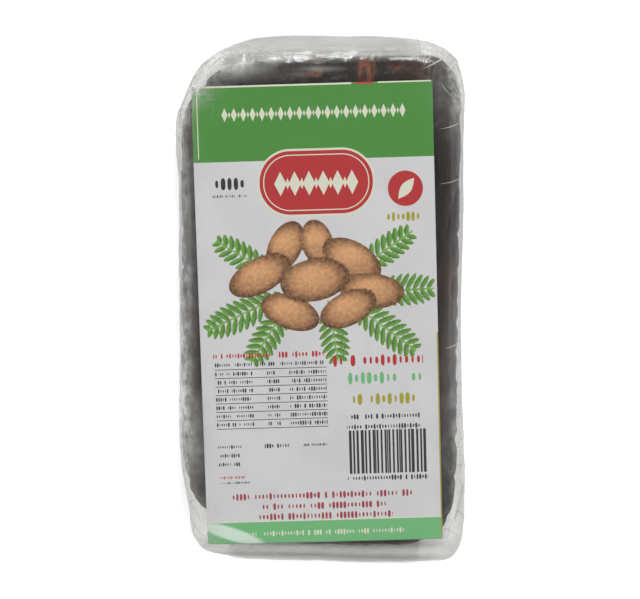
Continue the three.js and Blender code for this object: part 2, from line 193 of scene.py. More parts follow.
class PackColours(bpy.types.PropertyGroup):
    pulp: colour("Pulp", "Main colour of the pulp", 0.016, 0.012, 0.011)
    pulp_brown: colour("Brown pulp", "Warmer parts of the pulp", 0.055, 0.022, 0.012)
    pulp_shell: colour("Light pulp", "Lighter bits at the slab's top edge", 0.26, 0.075, 0.028)
    haze: colour("Film haze", "The film where it looks milky", 0.66, 0.655, 0.64)
    film_shade: colour("Film shade", "The film where it lies in its own shade", 0.075, 0.068, 0.062)
    film_clear: colour("Clear film", "Light let through straight", 0.965, 0.965, 0.958)
    film_grazing: colour("Film edge on", "Light let through along the film", 0.48, 0.48, 0.47)
    paper: colour("Paper", "Unprinted paper of the label", 0.76, 0.75, 0.77)
    green: colour("Green", "Ink of the label's top band", 0.075, 0.30, 0.045)
    light_green: colour("Light green", "Ink of the label's bottom band", 0.19, 0.54, 0.225)
    # Painted glare of the film, laid as a pale sweep into the label's bottom band
    painted_glare: colour("Painted glare band", "Pale sweep through the bottom band", 0.72, 0.88, 0.76)
    leaf: colour("Leaf", "Dark ink of the ornament's leaves", 0.07, 0.27, 0.035)
    leaf_light: colour("Light leaf", "Light ink of the leaves", 0.22, 0.48, 0.08)
    seed: colour("Seed", "Dark ink of the ornament's seeds", 0.36, 0.13, 0.045)
    seed_light: colour("Light seed", "Light ink of the seeds", 0.80, 0.42, 0.20)
    red: colour("Red", "Red ink", 0.52, 0.03, 0.035)
    wine: colour("Wine", "Wine-red ink of the lowest rows", 0.40, 0.06, 0.075)
    olive: colour("Olive", "Olive ink of some rows", 0.42, 0.38, 0.03)
    cream: colour("Cream", "Cream lines and ornaments", 0.80, 0.80, 0.66)
    dark: colour("Dark ink", "Ink of the rules and stripes", 0.03, 0.03, 0.035)


# Shapes

def smooth_loop(points, count=1440, softness=1.7):
    """A closed line through points: even steps along their polygon, each frequency f of it weakened by
    exp(-(2 pi f softness / length)^2 / 2), which is a Gaussian average over softness millimetres."""
    closed = np.vstack([points, points[:1]])
    along = np.concatenate([[0], np.cumsum(np.hypot(*np.diff(closed, axis=0).T))])
    even = np.linspace(0, along[-1], count, endpoint=False)
    line = np.stack([np.interp(even, along, closed[:, k]) for k in (0, 1)], axis=1)
    frequency = np.fft.fftfreq(count, 1 / count)
    weaker = np.exp(-0.5 * (2 * np.pi * frequency * softness / along[-1]) ** 2)
    return np.real(np.fft.ifft(np.fft.fft(line, axis=0) * weaker[:, None], axis=0))


def at_share(loop, share):
    """The loop's points at shares of its length, between 0 and 1 and round again."""
    closed = np.vstack([loop, loop[:1]])
    place = np.mod(share, 1) * len(loop)
    return np.stack([np.interp(place, np.arange(len(closed)), closed[:, k]) for k in (0, 1)], axis=-1)


def unit(vectors):
    return vectors / np.maximum(np.linalg.norm(vectors, axis=-1, keepdims=True), 1e-9)


def smoothstep(value, low, high):
    x = np.clip((value - low) / (high - low), 0, 1)
    return x * x * (3 - 2 * x)


def gradient_noise(points, size, seed):
    """Smooth noise from -1 to 1 with features of about size: each lattice corner holds a random direction, and the
    value is the blend of (corner to point) . direction over the eight corners with weights 6t^5 - 15t^4 + 10t^3."""
    random = np.random.default_rng(seed)
    directions = unit(random.normal(size=(256, 3)))
    order = random.permutation(256)
    scaled = points / size
    cell = np.floor(scaled).astype(int)
    inside = scaled - cell
    fade = inside**3 * (inside * (inside * 6 - 15) + 10)
    total = np.zeros(points.shape[:-1])
    for corner in np.ndindex(2, 2, 2):
        corner = np.array(corner)
        lattice = (cell + corner) % 256
        index = order[(order[(order[lattice[..., 0]] + lattice[..., 1]) % 256] + lattice[..., 2]) % 256]
        weight = np.prod(np.where(corner, fade, 1 - fade), axis=-1)
        total += weight * np.sum(directions[index] * (inside - corner), axis=-1)
    return total * 1.6


def ridged(points, size, seed, sharpness=3.0):
    """Sharp lines where gradient noise crosses zero: (1 - sharpness |noise|) squared, never below 0."""
    return np.clip(1 - sharpness * np.abs(gradient_noise(points, size, seed)), 0, 1) ** 2


class Cushion:
    """A body with flat faces and rounded edges, as a function of two parameters.

    share runs round its widest line. fall runs from the middle of the front (0) to the start of the rounded edge
    (1), down a quarter ellipse to the widest line (2), in under another (3) and to the middle of the back (4). The
    ellipse reaches in by side_run on the sides and by the end runs at the ends, and by under_run below."""

    def __init__(self, outline, top, base, middle, side_run, top_end_run, bottom_end_run, under_run):
        self.loop = smooth_loop(outline)
        self.top, self.base, self.middle = top, base, middle
        self.side_run, self.top_end_run, self.bottom_end_run = side_run, top_end_run, bottom_end_run
        self.under_run = under_run

    def edge(self, share):
        rim = at_share(self.loop, share)
        spine = np.stack([np.zeros(rim.shape[:-1]), np.clip(rim[..., 1], -SPINE, SPINE)], axis=-1)
        inward = unit(spine - rim)
        end_share = inward[..., 1] ** 2
        end_run = np.where(rim[..., 1] > 0, self.top_end_run, self.bottom_end_run)
        run = self.side_run + (end_run - self.side_run) * end_share
        return rim, inward, run[..., None], (self.under_run * (1 + 0.6 * end_share))[..., None]

    def surface(self, share, fall):
        """Places and outward directions at shares and falls, which are arrays of one shape."""
        rim, inward, run, under = self.edge(share)
        front = (fall <= 2)[..., None]
        turn = np.clip(np.where(fall <= 2, fall - 1, 3 - fall), 0, 1)[..., None] * np.pi / 2
        reach = np.where(front, run, under) * (1 - np.sin(turn))
        flat = np.where(front, self.top, self.base)
        plan = rim + inward * reach
        height = self.middle + (flat - self.middle) * np.cos(turn)
        to_pole = np.clip(np.where(fall <= 2, 1 - fall, fall - 3), 0, 1)[..., None]
        plan = plan + (POLE - plan) * to_pole
        facing = np.concatenate([-inward * np.sin(turn), np.where(front, 1, -1) * np.cos(turn)], axis=-1)
        return np.concatenate([plan, height], axis=-1), unit(facing)


def film_form():
    sizes = bpy.context.scene.pack_sizes
    return Cushion(FILM_OUTLINE, sizes.film_top / MM, 0.0, middle=8.4, side_run=4.6, top_end_run=10.5,
                   bottom_end_run=8.5, under_run=3.6)


def pulp_form():
    sizes = bpy.context.scene.pack_sizes
    return Cushion(PULP_OUTLINE, sizes.pulp_top / MM, sizes.pulp_base / MM, middle=8.2, side_run=5.4,
                   top_end_run=7.5, bottom_end_run=9.5, under_run=4.2)


def shared_wave(plan):
    """The slow waves that the label and the film over it both follow: two sizes of gradient noise in plan."""
    flat = np.concatenate([plan[..., :2], np.zeros(plan.shape[:-1] + (1,))], axis=-1)
    return 0.13 * gradient_noise(flat, 24, 3) + 0.06 * gradient_noise(flat, 9, 4)


def squared_reach(places, x, y, half_x, half_y):
    return ((places[..., 0] - x) / half_x) ** 2 + ((places[..., 1] - y) / half_y) ** 2


def soft_ovals(places, ovals):
    """How much the ovals cover a place, from 0 to 1: 1 less the product of 1 - much exp(-0.8 r^2), with r the
    distance from an oval's middle in half sizes."""
    clear = np.ones(places.shape[:-1])
    for x, y, half_x, half_y, much in ovals:
        clear *= 1 - much * np.exp(-0.8 * squared_reach(places, x, y, half_x, half_y))
    return 1 - clear


def film_relief(places, fall):
    """Height of the film off its smooth form: shared waves over the front, and ridged noise that grows in the
    crumpled places. On the back it only goes inwards, so that the pack lies flat."""
    sizes = bpy.context.scene.pack_sizes
    edge = smoothstep(fall, 0.75, 1.25)
    crumpled = soft_ovals(places, CRUMPLED_PLACES)
    slack = sizes.crinkle / MM * (0.05 + 0.08 * edge + 1.2 * crumpled)
    folds = ridged(places, 17, 11, 5.0) + ridged(places, 7, 12, 4.0) * 0.9 + ridged(places, 3.2, 13) * 0.5
    slack = slack * (1 - 0.9 * smoothstep(np.abs(places[..., 1] - END_MIDDLE), *SMOOTH_ENDS))
    swell = gradient_noise(places, 26, 14) * 0.3 * edge
    front = shared_wave(places) + 0.1 - 0.25 * edge + slack * folds + swell
    back = -0.22 * ridged(places, 16, 15) - 0.1 * ridged(places, 6, 16)
    share_back = smoothstep(fall, 2.55, 3.0)
    return front * (1 - share_back) + back * share_back


def film_fields(places, fall):
    """The film's looks at places, each from 0 to 1: how milky, how crumpled and how shaded it is, from the soft
    ovals. It is milkier where it rounds the edge, and calmer on the walls."""
    wall = smoothstep(fall, 1.9, 2.25) * (1 - smoothstep(fall, 2.9, 3.1))
    # A few of the milky ovals, along the slab's top edge, are painted highlights
    milk = CLEAREST + (1 - 0.55 * wall) * soft_ovals(places, MILK_AND_SHEEN_PLACES) + 0.12 * smoothstep(fall, 1.8, 2.0)
    return {"milk": np.clip(milk, 0, 1), "crumple": (1 - 0.75 * wall) * soft_ovals(places, CRUMPLED_PLACES),
            "shade": soft_ovals(places, SHADED_PLACES)}


def seen_from_above(form, plan):
    """Places and outward directions of the film's front at places in plan: the rounded edge is a quarter ellipse
    over the distance to the nearest point of the widest line. Places outside that line are drawn in to just inside
    it."""
    rim, inward, run, _ = form.edge(RIM_SHARES)
    flat = plan.reshape(-1, 2)
    nearest = np.linalg.norm(flat[:, None] - rim, axis=-1).argmin(axis=1)
    depth = np.sum((flat - rim[nearest]) * inward[nearest], axis=1)
    flat = flat + inward[nearest] * np.maximum(LEAST_DEPTH - depth, 0)[:, None]
    lack = np.clip(1 - np.maximum(depth, LEAST_DEPTH) / run[nearest, 0], 0, 1)
    height = form.middle + (form.top - form.middle) * np.sqrt(1 - lack**2)
    facing = np.concatenate([-inward[nearest] * lack[:, None], np.sqrt(1 - lack**2)[:, None]], axis=-1)
    places = np.concatenate([flat, height[:, None]], axis=1)
    return places.reshape(plan.shape[:-1] + (3,)), unit(facing).reshape(plan.shape[:-1] + (3,))


# Meshes

def tube_faces(rings, around):
    """Quads between rings of points that close on themselves, the last corner first so that they face outwards."""
    ring = np.arange(rings - 1)[:, None]
    side = np.arange(around)[None, :]
    a = ring * around + side
    b = ring * around + (side + 1) % around
    return np.stack([a, a + around, b + around, b], axis=-1).reshape(-1, 4)


def grid_faces(rows, columns):
    row = np.arange(rows - 1)[:, None]
    column = np.arange(columns - 1)[None, :]
    a = row * columns + column
    return np.stack([a, a + 1, a + columns + 1, a + columns], axis=-1).reshape(-1, 4)


def make_mesh(name, points, quads, triangles=None, attributes=None, uv=None):
    """A smooth mesh object from arrays in millimetres on the drawing. attributes are numbers at points."""
    faces = quads.tolist() + ([] if triangles is None else triangles.tolist())
    mesh = bpy.data.meshes.new(name)
    mesh.from_pydata(((points + SHIFT) * MM).tolist(), [], faces)
    mesh.polygons.foreach_set("use_smooth", np.ones(len(faces), bool))
    for key, values in (attributes or {}).items():
        mesh.attributes.new(key, "FLOAT", "POINT").data.foreach_set("value", values.ravel().astype(np.float32))
    if uv is not None:
        corners = np.zeros(len(mesh.loops), np.int32)
        mesh.loops.foreach_get("vertex_index", corners)
        layer = mesh.uv_layers.new(name="print")
        layer.data.foreach_set("uv", uv[corners].astype(np.float32).ravel())
    mesh.update()
    piece = bpy.data.objects.new(name, mesh)
    bpy.context.scene.collection.objects.link(piece)
    return piece


def closed_body(name, places, attributes):
    """A closed mesh from a grid of places whose first and last rows are each one point."""
    rings, around = places.shape[:2]
    inner = places[1:-1].reshape(-1, 3)
    count = len(inner)
    points = np.vstack([inner, places[0, 0], places[-1, 0]])
    side = np.arange(around)
    after = (side + 1) % around
    last = (rings - 3) * around
    front = np.stack([np.full(around, count), side, after], axis=-1)
    back = np.stack([np.full(around, count + 1), last + after, last + side], axis=-1)
    kept = {key: np.concatenate([v[1:-1].ravel(), v[0, :1], v[-1, :1]]) for key, v in attributes.items()}
    return make_mesh(name, points, tube_faces(rings - 2, around), np.vstack([front, back]), kept)


def place_piece(piece, node, material):
    piece.data.materials.append(material)
    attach(piece, "root")
    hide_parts(node)


# Materials

class Wiring:
    """Short ways to add and join shader nodes in one tree."""

    def __init__(self, tree):
        self.tree = tree

    def add(self, kind, values=None, **settings):
        node = self.tree.nodes.new(kind)
        for key, value in settings.items():
            setattr(node, key, value)
        for key, value in (values or {}).items():
            self.feed(node.inputs[key], value)
        return node

    def feed(self, socket, value):
        if isinstance(value, bpy.types.NodeSocket):
            self.tree.links.new(value, socket)
        else:
            socket.default_value = value

    def math(self, operation, *values, clamp=False):
        node = self.add("ShaderNodeMath", operation=operation, use_clamp=clamp)
        for socket, value in zip(node.inputs, values):
            self.feed(socket, value)
        return node.outputs[0]

    def plus(self, *values, clamp=False):
        return self.math("ADD", *values, clamp=clamp)

    def minus(self, *values, clamp=False):
        return self.math("SUBTRACT", *values, clamp=clamp)

    def times(self, *values):
        return self.math("MULTIPLY", *values)

    def over(self, *values):
        return self.math("DIVIDE", *values)

    def ramp(self, value, low, high, out_low=0.0, out_high=1.0):
        node = self.add("ShaderNodeMapRange", {0: value, 1: low, 2: high, 3: out_low, 4: out_high})
        node.interpolation_type = "SMOOTHSTEP"
        return node.outputs[0]

    def mix(self, share, below, above):
        node = self.add("ShaderNodeMix", data_type="RGBA")
        self.feed(node.inputs[0], share)
        self.feed(node.inputs[6], below)
        self.feed(node.inputs[7], above)
        return node.outputs[2]

    def noise(self, place, scale, detail=3.0, roughness=0.55):
        return self.add("ShaderNodeTexNoise", {"Vector": place, "Scale": scale, "Detail": detail,
                                               "Roughness": roughness}).outputs["Fac"]

    def place(self):
        return self.add("ShaderNodeTexCoord").outputs["Object"]

    def attribute(self, name):
        return self.add("ShaderNodeAttribute", attribute_name=name).outputs["Fac"]

    def bump(self, height, strength, distance):
        return self.add("ShaderNodeBump", {"Height": height, "Strength": strength, "Distance": distance}).outputs[0]

    def stretched(self, place, scale_xyz, turn=(0, 0, 0)):
        return self.add("ShaderNodeMapping", {"Vector": place, "Scale": scale_xyz, "Rotation": turn}).outputs[0]

    def group(self, tree, **values):
        node = self.add("ShaderNodeGroup", node_tree=tree)
        for key, value in values.items():
            self.feed(node.inputs[key], value)
        return node


def new_material(name):
    material = bpy.data.materials.new(name)
    material.use_nodes = True
    material.node_tree.nodes.clear()
    wiring = Wiring(material.node_tree)
    output = wiring.add("ShaderNodeOutputMaterial")
    return material, wiring, output


def new_group(name, inputs, outputs):
    """An empty node group with float inputs (name: default) and float outputs, and its wiring."""
    tree = bpy.data.node_groups.new(name, "ShaderNodeTree")
    for key, default in inputs.items():
        tree.interface.new_socket(key, in_out="INPUT", socket_type="NodeSocketFloat").default_value = default
    for key in outputs:
        tree.interface.new_socket(key, in_out="OUTPUT", socket_type="NodeSocketFloat")
    wiring = Wiring(tree)
    return tree, wiring, wiring.add("NodeGroupInput").outputs, wiring.add("NodeGroupOutput").inputs


def box_group():
    """Mask of a rounded box in the print: 1 inside, 0 outside, from the distance to a box with rounded corners."""
    tree, w, given, out = new_group(
        "Print box", {"X": 0, "Y": 0, "Middle X": 0, "Middle Y": 0, "Half width": 1, "Half height": 1, "Round": 0.1,
                      "Soft": 0.06}, ["Mask", "Distance"])
    parts = []
    for axis, half in (("X", "Half width"), ("Y", "Half height")):
        away = w.math("ABSOLUTE", w.minus(given[axis], given["Middle " + axis]))
        parts.append(w.plus(w.minus(away, given[half]), given["Round"]))
    outside = w.math("SQRT", w.plus(*[w.math("POWER", w.math("MAXIMUM", p, 0.0), 2.0) for p in parts]))
    inside = w.math("MINIMUM", w.math("MAXIMUM", *parts), 0.0)
    distance = w.minus(w.plus(outside, inside), given["Round"])
    w.feed(out["Mask"], w.minus(0.5, w.over(distance, given["Soft"]), clamp=True))
    w.feed(out["Distance"], distance)
    return tree


def oval_group():
    """Mask of an oval turned by Turn, and how round it looks: Round is 1 in its middle and 0 at its rim. Pointed
    pulls its ends to points, as on a leaf."""
    tree, w, given, out = new_group(
        "Print oval", {"X": 0, "Y": 0, "Middle X": 0, "Middle Y": 0, "Half length": 4, "Half width": 2, "Turn": 0,
                       "Pointed": 0, "Soft": 0.08}, ["Mask", "Round"])
    x = w.minus(given["X"], given["Middle X"])
    y = w.minus(given["Y"], given["Middle Y"])
    cos, sin = w.math("COSINE", given["Turn"]), w.math("SINE", given["Turn"])
    along = w.plus(w.times(x, cos), w.times(y, sin))
    across = w.minus(w.times(y, cos), w.times(x, sin))
    along = w.over(along, given["Half length"])
    square = w.math("POWER", w.math("ABSOLUTE", along), 2.0)
    narrow = w.minus(1.0, w.times(square, w.times(given["Pointed"], 0.75)))
    across = w.over(across, w.times(given["Half width"], w.math("MAXIMUM", narrow, 0.05)))
    reach = w.math("SQRT", w.plus(square, w.math("POWER", w.math("ABSOLUTE", across), 2.0)))
    soft = w.over(given["Soft"], given["Half width"])
    w.feed(out["Mask"], w.plus(0.5, w.over(w.minus(1.0, reach), soft), clamp=True))
    w.feed(out["Round"], w.minus(1.0, reach, clamp=True))
    return tree


def row_group():
    """Mask of equal stripes or lozenges in a row: the place within each pitch, tested against Width. With Lozenge at
    1 the stripe narrows away from the row's middle line."""
    tree, w, given, out = new_group(
        "Print row", {"X": 0, "Y": 0, "Middle X": 0, "Middle Y": 0, "Half width": 5, "Half height": 0.5,
                      "Pitch": 2, "Width": 0.8, "Lozenge": 0}, ["Mask"])
    box = w.group(bpy.data.node_groups["Print box"], **{key: given[key] for key in (
        "X", "Y", "Middle X", "Middle Y", "Half width", "Half height")}, Round=0.0, Soft=0.05).outputs[0]
    shifted = w.minus(given["X"], w.minus(given["Middle X"], given["Half width"]))
    within = w.minus(w.math("FRACT", w.over(shifted, given["Pitch"])), 0.5)
    sideways = w.times(w.math("ABSOLUTE", within), given["Pitch"])
    up = w.over(w.math("ABSOLUTE", w.minus(given["Y"], given["Middle Y"])), given["Half height"])
    width = w.times(given["Width"], w.minus(1.0, w.times(up, given["Lozenge"])))
    stripe = w.plus(0.5, w.over(w.minus(width, sideways), 0.05), clamp=True)
    w.feed(out["Mask"], w.times(box, stripe))
    return tree


def pulp_material():
    colours = bpy.context.scene.pack_colours
    material, w, output = new_material("pressed_pulp")
    place = w.place()
    patches = w.ramp(w.noise(place, 55, 4), 0.48, 0.72)
    fibres = w.noise(w.stretched(place, (900, 160, 900), (0, 0, 0.5)), 1.0, 4, 0.6)
    grain = w.noise(place, 700, 4, 0.6)
    lumps = w.noise(place, 160, 3)
    colour = w.mix(patches, tuple(colours.pulp), tuple(colours.pulp_brown))
    colour = w.mix(w.ramp(fibres, 0.58, 0.75, 0, 0.5), colour, tuple(colours.pulp_brown))
    light = w.attribute("light_pulp")
    streaky = w.times(light, w.ramp(w.noise(w.stretched(place, (500, 120, 300)), 1.0, 3), 0.3, 0.6))
    colour = w.mix(streaky, colour, tuple(colours.pulp_shell))
    height = w.plus(lumps, w.plus(w.times(grain, 0.25), w.times(fibres, 0.4)))
    bump = w.bump(height, 0.7, 0.0008)
    shader = w.add("ShaderNodeBsdfPrincipled", {
        "Base Color": colour, "Roughness": w.ramp(grain, 0.3, 0.7, 0.42, 0.65), "Normal": bump,
        "Specular IOR Level": 0.35})
    w.feed(output.inputs["Surface"], shader.outputs[0])
    return material


# How strongly the film bends light, what share of the mirror that follows shows, and its most
FILM_IOR, MIRROR_SHARE, MIRROR_MOST = 1.45, 0.6, 0.28
# How milky the smooth ends are, and how much a full shade hides
END_HAZE, SHADE_HAZE = 0.34, 0.5


def film_material(name, extra_haze=0.0):
    """Clear film: see-through, milky where the milk attribute says so and where the film is creased, and glossy."""
    colours = bpy.context.scene.pack_colours
    material, w, output = new_material(name)
    place = w.place()
    # Besides milkiness this attribute holds painted highlights: some top-edge ovals and the creases' white
    milk, crumple, shade = [w.attribute(field) for field in ("milk", "crumple", "shade")]
    clouds = w.noise(place, 170, 4, 0.6)
    blotches = w.noise(w.stretched(place, (420, 230, 300)), 1.0, 3, 0.6)
    streaks = w.noise(w.stretched(place, (900, 70, 300), (0, 0, 0.35)), 1.0, 3, 0.6)
    streaks_b = w.noise(w.stretched(place, (80, 800, 300), (0, 0, 0.25)), 1.0, 3, 0.6)
    fine = w.noise(place, 900, 3, 0.6)
    patchy = w.times(w.ramp(clouds, 0.32, 0.66, 0.5, 1.4), w.ramp(blotches, 0.4, 0.6, 0.5, 1.4))
    # The smooth ends are evenly milky, the rest is patchy
    along = w.add("ShaderNodeSeparateXYZ", {0: place}).outputs[1]
    end = w.ramp(w.math("ABSOLUTE", w.minus(along, END_MIDDLE_M)), *MILKY_ENDS_M)
    calm = w.math("MAXIMUM", end, w.minus(0.8, w.times(crumple, 1.6)))
    patchy = w.plus(patchy, w.times(calm, w.minus(0.95, patchy)))
    patchy = w.times(w.math("MAXIMUM", milk, w.times(end, END_HAZE)), patchy)
    lines = w.math("MAXIMUM", w.ramp(streaks, 0.62, 0.70), w.ramp(streaks_b, 0.63, 0.71))
    lines = w.times(lines, w.times(crumple, 0.3))
    specks = w.times(w.ramp(fine, 0.70, 0.75), w.times(milk, 0.3))
    haze = w.plus(w.plus(patchy, lines), w.plus(specks, w.times(shade, SHADE_HAZE)))
    haze = w.plus(haze, extra_haze, clamp=True)
    crinkle = w.noise(place, 260, 4, 0.65)
    height = w.plus(crinkle, w.times(streaks, 0.6))
    height = w.times(height, w.plus(0.05, crumple))
    bump = w.bump(height, 0.6, 0.0006)
    # Seen along its surface the film is thicker and darker
    grazing = w.math("POWER", w.add("ShaderNodeLayerWeight", {"Blend": 0.5}).outputs["Facing"], 2.5)
    clear = w.add("ShaderNodeBsdfTransparent", {
        "Color": w.mix(grazing, tuple(colours.film_clear), tuple(colours.film_grazing))})
    pale = w.mix(w.ramp(clouds, 0.3, 0.7), tuple(c * 0.85 for c in colours.haze), tuple(colours.haze))
    milky = w.add("ShaderNodeBsdfPrincipled", {
        "Base Color": w.mix(shade, pale, tuple(colours.film_shade)), "Roughness": 0.55, "Normal": bump,
        "Specular IOR Level": 0.2})
    body = w.add("ShaderNodeMixShader", {0: haze, 1: clear.outputs[0], 2: milky.outputs[0]})
    gloss = w.add("ShaderNodeBsdfGlossy", {"Color": (1, 1, 1, 1), "Roughness": 0.12, "Normal": bump})
    # A thin skin mirrors as much from within as from outside
    inside = w.add("ShaderNodeNewGeometry").outputs["Backfacing"]
    bend = w.plus(w.times(inside, 1 / FILM_IOR - FILM_IOR), FILM_IOR)
    mirror = w.times(w.add("ShaderNodeFresnel", {"IOR": bend, "Normal": bump}).outputs[0], MIRROR_SHARE)
    mirror = w.math("MINIMUM", mirror, MIRROR_MOST)
    shown = w.add("ShaderNodeMixShader", {0: mirror, 1: body.outputs[0], 2: gloss.outputs[0]})
    w.feed(output.inputs["Surface"], shown.outputs[0])
    return material


# The label's artwork is laid out on a sheet of this size and printed to fit the label
PRINT_WIDTH, PRINT_LENGTH = 67.0, 129.0
# Boxes of plain ink, from the sheet's bottom left corner: middle, half sizes, corner radius, ink
PRINT_BOXES = [
    (33.5, 118.6, 34.0, 10.5, 0.0, "green"), (33.5, 3.1, 34.0, 3.2, 0.0, "light_green"),
    (33.5, 6.5, 34.0, 0.16, 0.0, "cream"), (22.5, 128.75, 22.0, 0.25, 0.0, "cream"),
    (48.2, 128.75, 2.6, 0.3, 0.0, "red"), (59.2, 128.8, 7.4, 0.2, 0.0, "cream"),
    (1.5, 118.8, 0.13, 9.8, 0.1, "cream"),
    (66.8, 30.0, 0.2, 29.0, 0.1, "olive"),
]
# The plaque, a box like those, and its rings from the outline inwards: how far in, ink
PLAQUE = (34.0, 101.8, 16.4, 9.4, 9.2)
PRINT_PLAQUE = [(0.0, "cream"), (0.6, "red"), (1.6, "cream"), (1.9, "red")]
# Blocks of rows of beads in place of words: middle, half sizes, pitch of the rows, half height of a row, ink
PRINT_WORDS = [
    (33.6, 2.9, 22.5, 0.9, 50, 0.8, "cream"), (9.6, 102.0, 4.2, 1.9, 50, 1.7, "dark"),
    (9.6, 98.6, 4.8, 0.5, 50, 0.45, "dark"), (58.8, 91.6, 5.4, 1.4, 50, 1.3, "olive"),
    (11.5, 53.9, 8.0, 0.8, 50, 0.75, "red"), (28.6, 53.9, 6.6, 1.0, 50, 0.9, "red"),
    (19.4, 51.4, 15.6, 0.7, 50, 0.6, "dark"),
    (9.0, 41.65, 5.4, 8.4, 2.4, 0.6, "dark"), (20.3, 41.65, 1.8, 8.4, 2.4, 0.6, "dark"),
    (30.0, 41.65, 5.2, 8.4, 2.4, 0.65, "dark"),
    (49.7, 51.6, 12.9, 1.8, 50, 1.6, "red"), (49.8, 46.6, 12.2, 2.0, 50, 1.7, "light_green"),
    (51.0, 40.6, 9.2, 1.9, 50, 1.6, "olive"), (51.0, 34.2, 10.4, 2.9, 2.9, 0.75, "dark"),
    (7.4, 25.6, 3.4, 3.75, 2.5, 0.6, "dark"), (20.6, 28.1, 3.4, 0.8, 50, 0.7, "dark"),
    (31.6, 28.1, 3.4, 0.5, 50, 0.4, "dark"), (7.6, 19.3, 3.6, 0.5, 50, 0.45, "red"),
    (8.6, 17.8, 4.4, 0.4, 50, 0.35, "dark"), (51.9, 18.1, 11.4, 0.8, 50, 0.75, "dark"),
    (33.0, 13.6, 26.0, 1.2, 50, 1.0, "wine"), (33.4, 10.6, 17.6, 1.2, 50, 1.0, "wine"),
    (34.0, 7.7, 19.0, 1.1, 50, 1.0, "wine"),
]
WORD_INKS = ("cream", "dark", "red", "light_green", "olive", "wine")
# Rows of lozenges or stripes: middle, half sizes, pitch, half width, how much they narrow, ink
PRINT_ROWS = [
    (33.8, 121.0, 26.0, 1.9, 2.6, 0.85, 1.0, "cream"), (33.8, 121.0, 24.7, 0.9, 2.6, 0.3, 1.0, "cream"),
    (34.0, 101.6, 12.0, 3.4, 4.0, 1.7, 1.0, "cream"), (34.0, 101.6, 10.0, 1.6, 4.0, 0.6, 1.0, "cream"),
    (52.0, 25.6, 11.2, 6.2, 1.12, 0.27, 0.0, "dark"), (52.0, 25.6, 11.2, 6.2, 1.72, 0.17, 0.0, "dark"),
]
# Rules between the table's rows: such a row with the two axes changed over
PRINT_RULES = {"Middle X": 41.65, "Middle Y": 19.6, "Half width": 9.6, "Half height": 15.8, "Pitch": 2.4,
               "Width": 0.1}
# The painted glare across the bottom band, and the red spot with its pale leaf: middle, half sizes, turn in radians
SWEEP, BAND_TOP = (7.0, 3.0, 12.0, 2.3, math.radians(-20)), 6.3
SPOT, SPOT_LEAF = (58.8, 99.4, 4.9, 4.9, 0.0), (59.0, 99.4, 3.6, 1.5, 0.9)
# The ornament's feathered leaves and brown seeds: middle, half length, half width, turn in degrees
LEAFLET_PITCH = 2.0
PRINT_SPRIGS = [
    (13.0, 66.0, 12.0, 4.6, 204), (20.0, 60.5, 10.5, 4.2, 236), (37.5, 60.0, 9.0, 4.2, 278),
    (51.0, 61.5, 12.5, 4.6, 322), (55.5, 71.0, 11.0, 4.6, 2), (51.5, 81.5, 11.0, 4.2, 34),
    (14.0, 81.0, 10.0, 4.0, 148),
]
PRINT_SEEDS = [
    (24.8, 84.2, 7.6, 4.6, 62), (17.2, 76.2, 9.2, 4.9, 26), (33.8, 85.0, 6.6, 4.4, 104),
    (43.6, 80.0, 8.8, 5.0, 148), (48.8, 71.0, 9.0, 4.9, 176), (25.6, 65.8, 8.6, 4.7, 158),
    (41.8, 66.2, 8.2, 4.7, 24), (32.6, 74.6, 9.6, 5.9, 8),
]


def in_turned_axes(x, y, middle_x, middle_y, turn):
    """Places along and across an axis turned by turn degrees about a middle."""
    cos, sin = math.cos(math.radians(turn)), math.sin(math.radians(turn))
    return (x - middle_x) * cos + (y - middle_y) * sin, (y - middle_y) * cos - (x - middle_x) * sin


